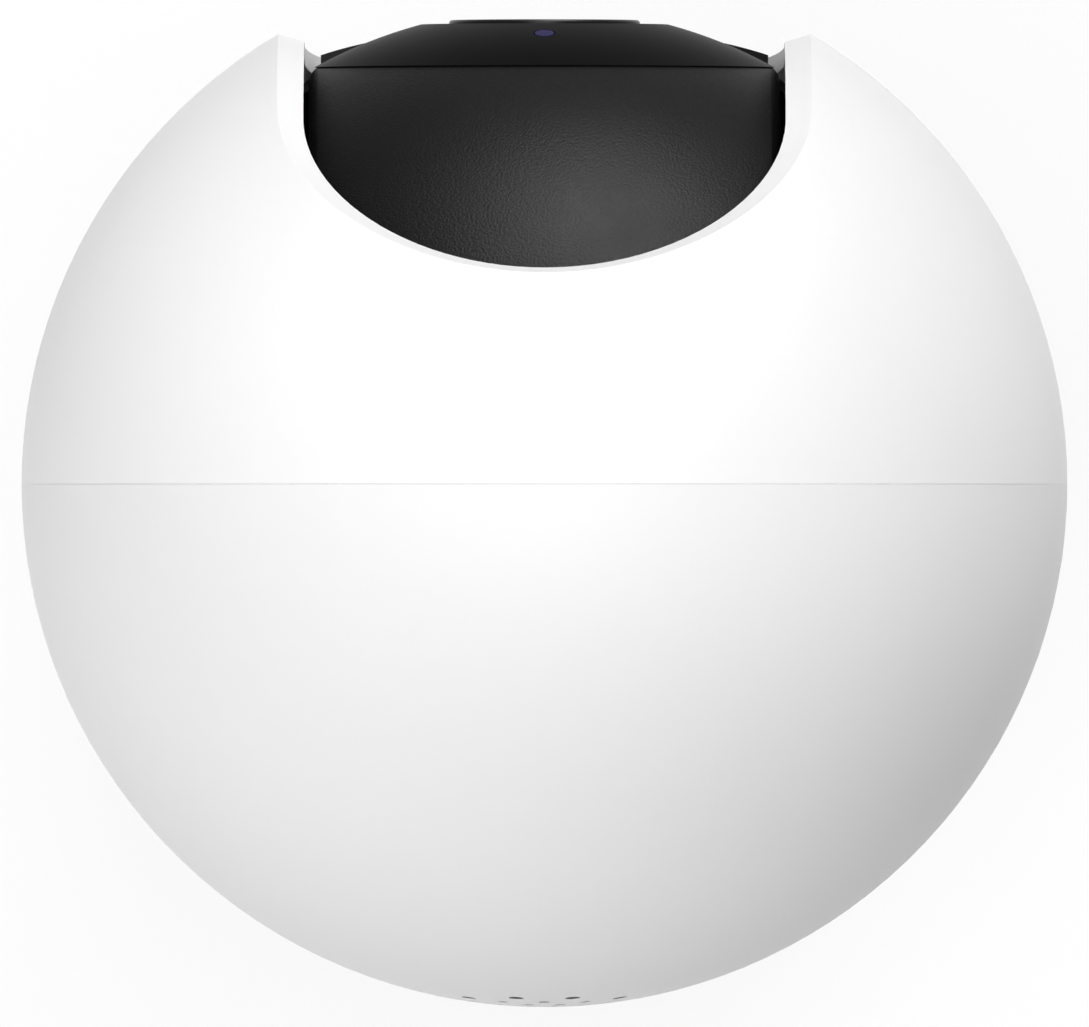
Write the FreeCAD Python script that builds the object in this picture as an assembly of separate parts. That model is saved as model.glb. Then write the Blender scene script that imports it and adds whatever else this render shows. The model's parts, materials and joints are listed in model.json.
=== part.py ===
import FreeCAD, Part
import math
import os

# Ball-shaped smart speaker with a tilting camera eye, on a round base.
# Millimetres, +Z up, the front faces -Y, the origin is the centre of the rubber foot's underside.
# Pieces of the head are drawn about the ball's centre and lifted by centre_height when written.

# ---- head shell -----------------------------------------------------------------------------
ball_radius = 44.0             # outside of the white head
base_radius = 33.5             # the base at its widest
shell_wall = 2.9
neck_flat_radius = 12.5        # flat under the ball, which turns on the base
plug_radius = 16.0             # bottom piece of the head, seen from below as a disc
seam_gap = 0.02                # front and rear half shells
fit_gap = 0.05                 # between pieces of one body
shell_boss_radius = 3.0

# ---- slot in the front shell ----------------------------------------------------------------
slot_half_width = 0.459 * ball_radius
slot_half_travel = 0.301 * ball_radius    # from the slot's middle to the centre of each round end
slot_tilt = 13.7               # degrees above the horizontal
slot_chamfer_width = 2.5       # along the ball
slot_chamfer_depth = 1.9       # down the slot's wall
liner_wall = 0.7               # black skirt behind the lower end of the slot
liner_step = 4.0               # skirt's opening outside the slot's sides
liner_tilt = 16.5              # degrees, the axis of that opening
liner_overlap = 4.0
liner_side_gap = 1.35          # the skirt's pointed horns to the slot's sides
liner_shoulder = 5.8           # roots of the horns, below the centre of the slot's lower end

# ---- tilting eye ----------------------------------------------------------------------------
eye_gap = 0.35                 # skirt to bezel
bezel_proud = 0.11             # bezel above the grained drum
side_gap = 0.4                 # slot's side to the drum's cheek
drum_wall = 1.65
drum_edge_round = 1.5
drum_back = 3.0                # drum ends this far in front of the tilt axis
cheek_wall = 1.6
lobe_radius = 6.5              # ear of the cheek round the pivot
bezel_seam_radius = 0.44 * ball_radius    # round seam between drum and bezel
bezel_flat_radius = 0.237 * ball_radius   # flat front of the bezel
bezel_wall = 1.7
bezel_face_wall = 1.65
skirt_wall = 1.6               # bezel's register inside the drum
skirt_depth = 4.0
weld = 0.5                     # how far a post or rib runs into the wall that carries it
back_cover_wall = 1.6
cover_post_x = 0.273 * ball_radius
cover_post_z = 0.59 * ball_radius
cover_post_radius = 2.4
cable_hole_radius = 3.0
cable_hole_drop = 8.0          # below the tilt axis

# ---- camera ---------------------------------------------------------------------------------
lens_ring_radius = 0.1825 * ball_radius
lens_ring_proud = 0.36
lens_ring_edge = 0.15
lens_ring_lip = 1.1
lens_ring_flange = 0.8
lens_ring_reach = 1.2          # flange behind the bezel's face
window_inset = 1.73            # ring's outside to the window
window_ledge = 1.2
window_thickness = 0.8
window_depth = 1.0             # below the ring's front
camera_board_depth = 8.8       # behind the inside of the bezel's face
camera_board_margin = 0.2      # round the posts
board_thickness = 1.2
board_round = 1.5
camera_post_radius = 1.9
barrel_radius = 3.9
barrel_gap = 0.9               # behind the window
holder_side = 9.0
holder_height = 4.0
holder_round = 0.8
camera_lens_radius = 3.2
camera_lens_seat = 1.2         # depth of the seat in the barrel
camera_lens_recess = 0.5
camera_lens_bulge = 0.6
status_light_radius = 0.82
status_light_collar = 0.25     # collar outside the tip
status_light_drop = 0.56       # below the inside of the bezel's skirt
status_light_length = 3.0
light_rim = 0.1
mic_hole_radius = 0.5
mic_height = 9.25
mic_side = 3.2
mic_thickness = 1.1

# ---- tilt pivots and drive ------------------------------------------------------------------
arm_gap = 1.8                  # cheek to the chassis arm
arm_wall = 2.4
arm_radius = 15.0
pin_radius = 3.5
pin_end_radius = 2.6
pin_flat = 1.82                # from the axis to the flat on the pin's end
pin_flange_radius = 5.0
pin_flange = 0.8
pin_flange_gap = 0.5
running_gap = 0.05
end_play = 0.1
bush_radius = 5.0
bush_flange_radius = 6.4
bush_flange = 0.8
gear_module = 0.5
pressure_angle = 25.0
tooth_play = 0.08
pinion_teeth = 12
tilt_gear_width = 3.0
tilt_drive_angle = 40.0        # pinion below and behind the tilt axis
motor_radius = 0.2537 * base_radius
motor_length = 9.7
motor_round = 0.6
motor_nose_radius = 4.2
motor_ear_reach = 2.5          # screw outside the can
motor_ear_radius = 2.4
motor_ear_wall = 1.2
motor_plug_width = 6.0
motor_plug_reach = 1.6         # outside the can
motor_plug_inset = 1.5         # from each end of the can
motor_shaft_radius = 1.0
motor_shaft_depth = 8.0        # of the shaft inside the can
motor_lobe_gap = 0.5           # tilt motor to the cheek's ear
motor_hub_gap = 0.4            # pan motor to the pan gear's hub

# ---- chassis --------------------------------------------------------------------------------
chassis_gap = 0.4              # to the shell
bridge_top = 0.636 * ball_radius          # below the centre
bridge_wall = 2.5
bridge_front = 5.0
leg_back = 22.5
block_half_width = 13.0
block_front = 6.5
block_back = 15.5
block_inset = 1.0              # block's foot above the neck flat
block_screw_x = 8.0
shell_screw_x = 0.636 * ball_radius
shell_screw_z = -0.455 * ball_radius
shell_screw_seat = 0.409 * ball_radius    # under the screw heads, behind the seam
ear_wall = 2.0
ear_margin = 0.4               # chassis ear round the shell's boss
board_wall = 1.8               # upright wall that carries the main board
board_wall_gap = 0.7           # behind the chassis screws' heads
board_wall_height = 13.0
board_wall_inset = 1.7         # main board past the wall on each side

# ---- main board and aerial ------------------------------------------------------------------
main_board_arm_gap = 2.1       # to the left arm's inside
main_board_motor_gap = 1.5     # to the tilt motor
main_board_bridge_gap = 1.0
main_board_top = 0.295 * ball_radius
main_board_screw_inset = 4.9
main_board_screw_lift = 8.0    # above the bridge
shield_side = 14.0
shield_height = 2.2
shield_bottom = -6.0
shield_round = 0.4
connector_pitch = 8.0
connector_width = 5.2
connector_height = 3.5
connector_depth = 2.6
connector_bottom = -14.5
connector_wall = 0.5
aerial_thickness = 0.5
aerial_length = 18.0
aerial_gap = 0.4               # to the bush
aerial_top = 1.2               # below the arm's top
aerial_inset = 0.5             # inside the arm's edge

# ---- loudspeaker ----------------------------------------------------------------------------
hole_ring_pitch = 2.1
hole_ring_counts = (6, 10, 11, 11)
hole_ring_bores = (0.55, 0.58, 0.52, 0.66)
middle_hole_radius = 0.55
speaker_radius = 0.341 * ball_radius
speaker_seat_wall = 2.2
speaker_ear_reach = 1.6        # screw outside the basket's rim
speaker_ear_radius = 2.4
speaker_ear_gap = 0.44         # seat to the shell at the ear's tip
gasket_thickness = 0.8
flange_thickness = 1.2
basket_depth = 0.182 * ball_radius
basket_wall = 1.0
magnet_radius = 8.6
magnet_thickness = 4.6
cone_overlap = 0.6             # cone's rim under the gasket
cone_wall = 0.4
cone_depth = 4.2
surround_width = 1.4
dome_radius = 2.4              # shoulder of the dust cap
dome_shoulder = 2.6
dome_height = 3.2
coil_radius = 4.3
coil_depth = 2.4               # inside the magnet
coil_gap = 0.3
coil_hole_gap = 1.0

# ---- pan drive and spindle ------------------------------------------------------------------
spindle_radius = 9.0
spindle_bore = 6.5
pan_bush_radius = 10.5
pan_bush_flange = 0.7
pan_boss_radius = 12.5
pan_boss_edge = 0.2            # bush flange inside the boss's edge
pan_hub_wall = 1.1
pan_gear_width = 3.0
pan_nose = 0.6
key_radius = 1.0
ring_groove = 0.8
ring_width = 0.8
ring_proud = 1.2
ring_opening = 3.0

# ---- base -----------------------------------------------------------------------------------
base_wall = 2.0
base_edge = 1.2
base_skirt = 1.0               # upright part of the wall above the cover
base_bulge_drop = 1.2          # how far the wall leans in at half height
wall_taper = 0.2               # the same at the button
rim_inset = 6.5                # dish's edge inside the base's widest
rim_land = 1.6
foot_inset = 4.5
foot_thickness = 1.4
foot_recess = 0.6
foot_edge = 0.4
cover_wall = 2.4
ballast_thickness = 2.2
ballast_inner = 11.5
ballast_gap = 0.6              # to the screw posts
gear_floor_gap = 0.6
motor_lift = 0.8               # pan motor above its gear
dish_headroom = 3.5            # pan motor's top to the middle of the dish
dish_gap = 0.8                 # ball to dish
dish_wall = 2.2
cover_post_inset = 7.5
cover_post_angle = 35.0
base_post_radius = 2.6
power_board_depth = 14.5       # front edge to the base's widest
power_board_side = 15.5        # side edge to the base's widest
power_board_gap = 1.3          # to the base's wall
power_board_lift = 6.0
power_post_x = 7.6
power_post_inset = 8.7
power_post_radius = 2.0
socket_width = 8.9
socket_height = 3.2
socket_depth = 7.3
socket_recess = 1.2            # mouth inside the base's widest
socket_wall = 0.3
socket_back_wall = 1.2
socket_gap = 0.25
tongue_thickness = 0.7
tongue_side = 1.4
tongue_recess = 0.8
button_angle = 32.0            # from the back, towards -X
button_radius = 2.4
button_proud = 0.7
button_edge = 0.4
button_travel = 0.5
button_gap = 0.3
button_flange = 0.8
button_seat_gap = 1.4          # flange to the base's wall at its widest
switch_side = 4.0
switch_depth = 3.0
switch_head_gap = 0.2
plunger_radius = 1.0
plunger_proud = 0.5

# ---- screws ---------------------------------------------------------------------------------
screw_radius = 1.0
screw_head_radius = 1.9
screw_head = 1.3
screw_gap = 0.15               # round a screw's shank or head
pilot_gap = 0.02
screw_spare = 0.4              # pilot hole past the screw's tip
shell_screw_bite = 10.4
block_screw_bite = 6.0
back_cover_screw_bite = 5.0
camera_screw_bite = 4.5
pivot_screw_bite = 5.0
speaker_screw_bite = 2.6
cover_screw_bite = 5.0
motor_screw_bite = 3.0
power_screw_bite = 4.0


def gear_teeth_for(reach):
    """Tooth count, to the nearest tooth, of the gear that a pinion this far from its axis drives."""
    return round(2 * (reach - pinion_radius) / gear_module)


# ---- derived sizes: head ----------------------------------------------------------------------
shell_inner = ball_radius - shell_wall
shell_middle = ball_radius - shell_wall / 2
liner_inner = shell_inner - liner_wall
liner_opening_radius = slot_half_width + liner_step
bezel_radius = liner_inner - eye_gap
drum_radius = bezel_radius - bezel_proud
drum_inner = drum_radius - drum_wall
drum_half_width = slot_half_width - side_gap
cheek_inner = drum_half_width - cheek_wall
arm_inner = drum_half_width + arm_gap
arm_outer = arm_inner + arm_wall
gear_face = arm_outer + bush_flange + end_play
chassis_radius = shell_inner - chassis_gap
neck_flat = math.sqrt(ball_radius ** 2 - neck_flat_radius ** 2)
motor_ear_pitch = motor_radius + motor_ear_reach
pinion_radius = gear_module * pinion_teeth / 2
tilt_gear_teeth = gear_teeth_for(lobe_radius + motor_lobe_gap + motor_radius)
tilt_drive_reach = gear_module * tilt_gear_teeth / 2 + pinion_radius
tilt_motor_y = tilt_drive_reach * math.cos(math.radians(tilt_drive_angle))
tilt_motor_z = -tilt_drive_reach * math.sin(math.radians(tilt_drive_angle))

bezel_seat = math.sqrt(bezel_radius ** 2 - bezel_seam_radius ** 2)
bezel_face = math.sqrt(bezel_radius ** 2 - bezel_flat_radius ** 2)
face_inside = bezel_face - bezel_face_wall
skirt_outer = math.sqrt(drum_inner ** 2 - bezel_seat ** 2) - 2 * fit_gap
status_light_height = skirt_outer - skirt_wall - status_light_drop
camera_post_pitch = skirt_outer - skirt_wall / 2 - camera_post_radius
camera_board_radius = camera_post_pitch + camera_post_radius + camera_board_margin
camera_board_front = face_inside - camera_board_depth
lens_ring_front = bezel_face + lens_ring_proud
window_radius = lens_ring_radius - window_inset
window_front = lens_ring_front - window_depth
window_back = window_front - window_thickness
barrel_front = window_back - barrel_gap
back_cover_front = drum_back + back_cover_wall

bridge_bottom = bridge_top + bridge_wall
block_middle = (block_front + block_back) / 2
board_wall_front = block_middle + screw_head_radius + board_wall_gap
board_wall_back = board_wall_front + board_wall
main_board_back = board_wall_back + board_thickness
main_board_left = main_board_arm_gap - arm_inner
main_board_right = arm_inner - motor_length - main_board_motor_gap
main_board_middle = (main_board_left + main_board_right) / 2
main_board_screw_reach = (main_board_right - main_board_left) / 2 - main_board_screw_inset
main_board_screw_z = main_board_screw_lift - bridge_top

speaker_ear_pitch = speaker_radius + speaker_ear_reach
speaker_seat = math.sqrt(shell_inner ** 2 - (speaker_ear_pitch + speaker_ear_radius) ** 2) - speaker_ear_gap
gasket_front = speaker_seat - gasket_thickness
flange_front = gasket_front - flange_thickness
basket_back = gasket_front - basket_depth
seat_inner = speaker_radius - speaker_seat_wall
cone_radius = seat_inner + cone_overlap
cone_back = gasket_front - cone_depth

# ---- derived sizes: base ----------------------------------------------------------------------
rim_radius = base_radius - rim_inset
foot_radius = base_radius - foot_inset
cover_post_pitch = base_radius - cover_post_inset
ballast_outer = cover_post_pitch - base_post_radius - ballast_gap
pan_gear_teeth = gear_teeth_for(spindle_radius + pan_hub_wall + motor_hub_gap + motor_radius)
pan_drive_reach = gear_module * pan_gear_teeth / 2 + pinion_radius
cover_bottom = foot_thickness - foot_recess
cover_top = cover_bottom + cover_wall
cover_screw_seat = foot_thickness + screw_head + end_play
ballast_top = cover_top + ballast_thickness
pan_gear_bottom = ballast_top + gear_floor_gap
pan_gear_top = pan_gear_bottom + pan_gear_width
pan_motor_bottom = pan_gear_top + motor_lift
pan_motor_top = pan_motor_bottom + motor_length
pan_ear_top = pan_motor_bottom + motor_ear_wall
boss_top = pan_motor_top + dish_headroom
bush_top = boss_top + pan_bush_flange
bush_bottom = pan_motor_top + end_play
neck_height = bush_top + end_play
centre_height = neck_height + neck_flat
dish_radius = ball_radius + dish_gap
dish_under = dish_radius + dish_wall
rim_height = centre_height - math.sqrt(dish_radius ** 2 - rim_radius ** 2)
power_board_bottom = cover_top + power_board_lift
power_board_top = power_board_bottom + board_thickness
power_post_y = base_radius - power_post_inset
socket_mouth = base_radius - socket_recess
socket_back = socket_mouth - socket_depth
button_height = power_board_top + button_radius + button_flange + button_gap
button_back = base_radius - base_wall - button_seat_gap - button_flange

V = FreeCAD.Vector
UP = V(0, 0, 1)
FRONT = V(0, -1, 0)
BACK = V(0, 1, 0)
RIGHT = V(1, 0, 0)
FAR = 5 * ball_radius
TINY = 1e-6


# ---- helpers --------------------------------------------------------------------------------
def ball(radius):
    return Part.makeSphere(radius, V(0, 0, 0), FRONT)


def hollow_ball(outer, inner):
    return ball(outer).cut(ball(inner))


def box(x0, x1, y0, y1, z0, z1):
    return Part.makeBox(x1 - x0, y1 - y0, z1 - z0, V(x0, y0, z0))


def rod(radius, length, start, direction=UP):
    return Part.makeCylinder(radius, length, start, direction)


def ring(outer, inner, length, start, direction=UP):
    return rod(outer, length, start, direction).cut(rod(inner, length, start, direction))


def moved(shape, x=0.0, y=0.0, z=0.0):
    return shape.translated(V(x, y, z))


def turned(shape, degrees, axis=UP, point=V(0, 0, 0)):
    result = shape.copy()
    result.rotate(point, axis, degrees)
    return result


def placed(shape, start, z_axis, x_axis=None):
    """Takes a shape drawn about the origin to start, its +Z along z_axis and its +X along x_axis."""
    rotation = FreeCAD.Rotation(UP, z_axis)
    if x_axis is not None:
        rotation = FreeCAD.Rotation(x_axis, V(0, 0, 0), z_axis, "ZXY")
    result = shape.copy()
    result.Placement = FreeCAD.Placement(start, rotation).multiply(shape.Placement)
    return result


def joined(shapes):
    first = shapes[0]
    if len(shapes) == 1:
        return first
    return first.fuse(shapes[1:]).removeSplitter()


def group(shapes):
    return Part.makeCompound(shapes)


def mirrored_pair(shape):
    return [shape, shape.mirror(V(0, 0, 0), RIGHT)]


def edges_along_y(shape):
    return [edge for edge in shape.Edges
            if abs(edge.Vertexes[0].Point.y - edge.Vertexes[-1].Point.y) > fit_gap]


def edges_at(shape, height):
    """Edges whose middle lies at a height."""
    return [edge for edge in shape.Edges
            if not edge.Degenerated and abs(edge.CenterOfMass.z - height) < TINY]


def spun(points, axis):
    """Solid of revolution from (radius, height) points, along +Z or another axis from the origin."""
    outline = Part.makePolygon([V(r, 0, h) for r, h in points] + [V(points[0][0], 0, points[0][1])])
    solid = Part.Face(outline).revolve(V(0, 0, 0), UP, 360)
    return placed(solid, V(0, 0, 0), axis)


def screw(length, start, direction):
    """Pan-head screw with a cross recess. start is under the head, direction is where it points."""
    shank = rod(screw_radius, length, V(0, 0, 0))
    head = rod(screw_head_radius, screw_head, V(0, 0, -screw_head))
    head = head.makeFillet(screw_head * 0.4, edges_at(head, -screw_head))
    arm = screw_head_radius * 0.65
    slot = screw_head_radius * 0.16
    depth = screw_head * 0.5
    for angle in (0, 90):
        cross = box(-arm, arm, -slot, slot, -screw_head, depth - screw_head)
        head = head.cut(turned(cross, angle))
    return placed(shank.fuse(head).removeSplitter(), start, direction)


def pilot(length, start, direction):
    return rod(screw_radius + pilot_gap, length, start, direction)


def clear_hole(length, start, direction):
    return rod(screw_radius + screw_gap, length, start, direction)


def head_hole(length, start, direction):
    return rod(screw_head_radius + screw_gap, length, start, direction)


def involute_angle(radius, base_circle):
    if radius <= base_circle:
        return 0.0
    roll = math.sqrt((radius / base_circle) ** 2 - 1)
    return roll - math.atan(roll)


def spur_gear(teeth, width, phase=0.0):
    """Spur gear on +Z. One tooth's middle points along phase degrees from +X."""
    pitch = gear_module * teeth / 2
    base_circle = pitch * math.cos(math.radians(pressure_angle))
    tip = pitch + 0.8 * gear_module
    root = pitch - 1.05 * gear_module
    half_tooth = (math.pi * gear_module / 2 - tooth_play / 2) / 2 / pitch
    half_base = half_tooth + involute_angle(pitch, base_circle)
    flank = [root + (tip - root) * step / 4 for step in range(5)]
    points = []
    for tooth in range(teeth):
        middle = 2 * math.pi * tooth / teeth + math.radians(phase)
        rising = [(r, middle - half_base + involute_angle(r, base_circle)) for r in flank]
        falling = [(r, middle + half_base - involute_angle(r, base_circle)) for r in reversed(flank)]
        points += [V(r * math.cos(a), r * math.sin(a), 0) for r, a in rising + falling]
    outline = Part.makePolygon(points + [points[0]])
    return Part.Face(outline).extrude(V(0, 0, width))


def stadium(half_width, half_travel, length):
    """Slot-shaped bar from the ball's centre along -Y, tilted up with the slot."""
    side = box(-half_width, half_width, -length, 0, -half_travel, half_travel)
    ends = [rod(half_width, length, V(0, 0, z), FRONT) for z in (half_travel, -half_travel)]
    return turned(side.fuse(ends).removeSplitter(), -slot_tilt, RIGHT)


def write(name, shape, lift=0.0):
    moved(shape, z=lift).exportStep("parts/" + name + ".step")


# ---- head shells ----------------------------------------------------------------------------
def shell_screw_places():
    return [V(x, 0, shell_screw_z) for x in (-shell_screw_x, shell_screw_x)]


def shell_bosses(front):
    """Screw bosses of one half shell, from the seam or from the chassis ear to the shell's wall."""
    reach = math.sqrt(shell_middle ** 2 - (shell_screw_x + shell_boss_radius) ** 2 - shell_screw_z ** 2)
    start, direction = (0.0, FRONT) if front else (ear_wall, BACK)
    within = ball(shell_middle)
    return [rod(shell_boss_radius, reach - start, at + V(0, start, 0), direction).common(within)
            for at in shell_screw_places()]


def head_shell(front):
    shell = joined([hollow_ball(ball_radius, shell_inner)] + shell_bosses(front))
    y0, y1 = (-FAR, 0.0) if front else (seam_gap, FAR)
    shell = shell.common(box(-FAR, FAR, y0, y1, -FAR, FAR))
    return shell.cut(rod(plug_radius + fit_gap, FAR, V(0, 0, -FAR)))


def front_shell():
    shell = head_shell(True)
    shell = shell.cut(stadium(slot_half_width, slot_half_travel, FAR))
    rim = [edge for edge in shell.Edges if on_slot_rim(edge)]
    shell = shell.makeChamfer(slot_chamfer_width, slot_chamfer_depth, rim)
    return shell.cut([pilot(shell_screw_bite, at, FRONT) for at in shell_screw_places()])


def on_slot_rim(edge):
    """True for the edges where the slot meets the outside of the ball."""
    if edge.Degenerated:
        return False
    points = edge.discretize(5)
    near = fit_gap / 5
    outside = all(abs(point.Length - ball_radius) < near for point in points)
    return outside and all(abs(point.x) < slot_half_width + near and point.y < -near for point in points)


def speaker_hole_places():
    """Centre and radius of every speaker hole, about the rear pole."""
    places = [(0.0, 0.0, middle_hole_radius)]
    for step, (count, bore) in enumerate(zip(hole_ring_counts, hole_ring_bores), start=1):
        offset = 0.0 if step == 3 else 180.0 / count
        for index in range(count):
            angle = math.radians(90.0 + offset + 360.0 * index / count)
            pitch = step * hole_ring_pitch
            places.append((pitch * math.cos(angle), pitch * math.sin(angle), bore))
    return places


def rear_shell():
    within = ball(shell_middle)
    seat = ring(speaker_radius, seat_inner, FAR, V(0, speaker_seat, 0), BACK)
    ears = [rod(speaker_ear_radius, FAR, V(x, speaker_seat, 0), BACK)
            for x in (-speaker_ear_pitch, speaker_ear_pitch)]
    shell = joined([head_shell(False), seat.common(within)] + [ear.common(within) for ear in ears])
    shell = shell.cut([rod(bore, FAR, V(x, speaker_seat, z), BACK) for x, z, bore in speaker_hole_places()])
    shell = shell.cut([pilot(speaker_screw_bite, V(x, speaker_seat, 0), BACK)
                       for x in (-speaker_ear_pitch, speaker_ear_pitch)])
    for at in shell_screw_places():
        shell = shell.cut(clear_hole(FAR, at, BACK))
        shell = shell.cut(head_hole(FAR, at + V(0, shell_screw_seat, 0), BACK))
    return shell


def slot_liner():
    """Black skirt inside the shell, round the lower end of the slot, with a horn up each side."""
    skin = hollow_ball(shell_inner - seam_gap, liner_inner).common(box(-FAR, FAR, -FAR, 0, -FAR, FAR))
    foot = stadium(slot_half_width + liner_overlap, slot_half_travel, FAR)
    foot = foot.common(below_slot(slot_half_travel + liner_shoulder))
    horns = stadium(slot_half_width - liner_side_gap, slot_half_travel, FAR).common(below_slot(0))
    opening = turned(rod(liner_opening_radius, FAR, V(0, 0, 0), FRONT), -liner_tilt, RIGHT)
    return skin.common(joined([foot, horns])).cut(opening)


def below_slot(drop):
    """Everything this far below the slot's middle, square to its tilt."""
    return turned(box(-FAR, FAR, -FAR, FAR, -FAR, -drop), -slot_tilt, RIGHT)


def head_base():
    """Bottom piece of the head: the plug, the hollow spindle and the block under the chassis."""
    plug_column = rod(plug_radius, FAR, V(0, 0, -FAR))
    below_neck = box(-FAR, FAR, -FAR, FAR, -FAR, -neck_flat)
    plug = hollow_ball(ball_radius, shell_inner).common(plug_column).cut(below_neck)
    block_foot = block_inset - neck_flat
    block = box(-block_half_width, block_half_width, block_front, block_back, block_foot, -bridge_bottom)
    block = block.common(plug_column).common(ball(ball_radius - block_inset))
    spindle_foot = pan_gear_bottom - ring_groove - ring_width - centre_height
    spindle_top = shell_wall / 2 - neck_flat
    spindle = rod(spindle_radius, spindle_top - spindle_foot, V(0, 0, spindle_foot))
    spindle = spindle.common(ball(FAR).cut(ball(shell_inner + fit_gap)).fuse(below_neck))
    bore = rod(spindle_bore, FAR, V(0, 0, -FAR))
    bore = bore.cut(box(-FAR, FAR, block_front, FAR, block_foot, 0))
    groove = ring(spindle_radius + ring_proud, spindle_radius - ring_groove, ring_width,
                  V(0, 0, spindle_foot + ring_groove))
    piece = joined([plug, block, spindle]).cut(bore).cut(groove)
    piece = piece.cut(moved(pan_key(pilot_gap), z=-centre_height))
    holes = [pilot(block_screw_bite, at + V(0, 0, -bridge_wall), -UP) for at in block_screw_places()]
    return piece.cut(holes)


def block_screw_places():
    return [V(x, block_middle, -bridge_top) for x in (-block_screw_x, block_screw_x)]


def retaining_ring():
    bottom = pan_gear_bottom - ring_width - centre_height
    inner = spindle_radius - ring_groove + fit_gap
    clip = ring(spindle_radius + ring_proud, inner, ring_width - fit_gap, V(0, 0, bottom))
    return clip.cut(box(-ring_opening / 2, ring_opening / 2, 0, FAR, -FAR, 0))


def pan_gear():
    gear = placed(spur_gear(pan_gear_teeth, pan_gear_width), V(0, 0, pan_gear_bottom), UP, FRONT)
    hub_height = bush_bottom - end_play - pan_gear_bottom
    hub = rod(spindle_radius + pan_hub_wall, hub_height, V(0, 0, pan_gear_bottom))
    gear = joined([gear, hub]).cut(rod(spindle_radius + pilot_gap, FAR, V(0, 0, 0)))
    return gear.cut(pan_key(pilot_gap))


def pan_key(grow=0.0):
    """Pin that locks the pan gear's hub to the spindle, or with grow the hole for it."""
    start = V(0, spindle_bore, (pan_gear_top + bush_bottom) / 2)
    return rod(key_radius + grow, spindle_radius + pan_hub_wall - spindle_bore, start, BACK)


# ---- chassis --------------------------------------------------------------------------------
def chassis_side(side):
    """One arm with its leg, and the ear held between the half shells."""
    bottom = -bridge_bottom
    x0, x1 = sorted((side * arm_inner, side * arm_outer))
    disc = rod(arm_radius, arm_wall, V(x0, 0, 0), RIGHT)
    leg = box(x0, x1, 0, leg_back, bottom, 0)
    ear = rod(shell_boss_radius + ear_margin, ear_wall, V(side * shell_screw_x, 0, shell_screw_z), BACK)
    e0, e1 = sorted((side * arm_inner, side * shell_screw_x))
    web = box(e0, e1, 0, ear_wall, shell_screw_z - shell_boss_radius, shell_screw_z + shell_boss_radius)
    return [disc, leg, ear, web]


def chassis():
    bridge = box(-arm_outer, arm_outer, bridge_front, leg_back, -bridge_bottom, -bridge_top)
    wall = box(main_board_left + board_wall_inset, main_board_right - board_wall_inset,
               board_wall_front, board_wall_back, -bridge_top - weld, board_wall_height - bridge_top)
    frame = joined([bridge, wall] + chassis_side(-1) + chassis_side(1)).common(ball(chassis_radius))
    holes = [rod(bush_radius + fit_gap, 2 * FAR, V(-FAR, 0, 0), RIGHT),
             rod(motor_nose_radius + running_gap, FAR, V(0, tilt_motor_y, tilt_motor_z), RIGHT)]
    holes += [pilot(FAR, V(0, ear.y, ear.z), RIGHT) for ear in tilt_motor_ears()]
    holes += [clear_hole(2 * ear_wall, at + V(0, -ear_wall / 2, 0), BACK) for at in shell_screw_places()]
    holes += [clear_hole(2 * bridge_wall, at + V(0, 0, bridge_wall / 2), -UP) for at in block_screw_places()]
    holes += [pilot(FAR, V(x, 0, main_board_screw_z), BACK) for x in main_board_screw_places()]
    return frame.cut(holes)


def main_board_screw_places():
    return (main_board_middle - main_board_screw_reach, main_board_middle + main_board_screw_reach)


def tilt_bush():
    sleeve = ring(bush_radius, pin_radius + running_gap, arm_wall, V(arm_inner, 0, 0), RIGHT)
    flange = ring(bush_flange_radius, pin_radius + running_gap, bush_flange, V(arm_outer, 0, 0), RIGHT)
    return joined([sleeve, flange])


# ---- gear motors ----------------------------------------------------------------------------
def motor_can(nose_length):
    """Round gear motor: nose up, its mounting face at the origin, its can below."""
    can = rod(motor_radius, motor_length, V(0, 0, -motor_length))
    can = can.makeFillet(motor_round, edges_at(can, 0.0) + edges_at(can, -motor_length))
    nose = rod(motor_nose_radius, nose_length, V(0, 0, 0))
    strap = box(-motor_ear_pitch, motor_ear_pitch, -motor_ear_radius, motor_ear_radius, -motor_ear_wall, 0)
    ears = [rod(motor_ear_radius, motor_ear_wall, V(x, 0, -motor_ear_wall))
            for x in (-motor_ear_pitch, motor_ear_pitch)]
    half = motor_plug_width / 2
    plug = box(-half, half, -motor_radius - motor_plug_reach, 0,
               motor_plug_inset - motor_length, -motor_ear_wall - motor_plug_inset)
    motor = joined([can, nose, strap, plug] + ears)
    for x in (-motor_ear_pitch, motor_ear_pitch):
        motor = motor.cut(clear_hole(2 * motor_ear_wall, V(x, 0, -1.5 * motor_ear_wall), UP))
    return motor.cut(rod(motor_shaft_radius + running_gap, FAR, V(0, 0, -motor_shaft_depth - end_play)))


def tilt_motor_place(shape):
    """Puts a motor piece, drawn along +Z, on the inside of the right arm."""
    lean = math.radians(tilt_drive_angle)
    across = V(0, math.sin(lean), math.cos(lean))
    return placed(shape, V(arm_inner, tilt_motor_y, tilt_motor_z), RIGHT, across)


def tilt_motor_ears():
    ears = [tilt_motor_place(Part.Vertex(x, 0, 0)) for x in (-motor_ear_pitch, motor_ear_pitch)]
    return [ear.Point for ear in ears]


def pan_motor_place(shape):
    """Puts a motor, drawn along +Z, in the front of the base with its nose down."""
    return placed(shape, V(0, -pan_drive_reach, pan_motor_bottom), -UP, -RIGHT)


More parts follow.
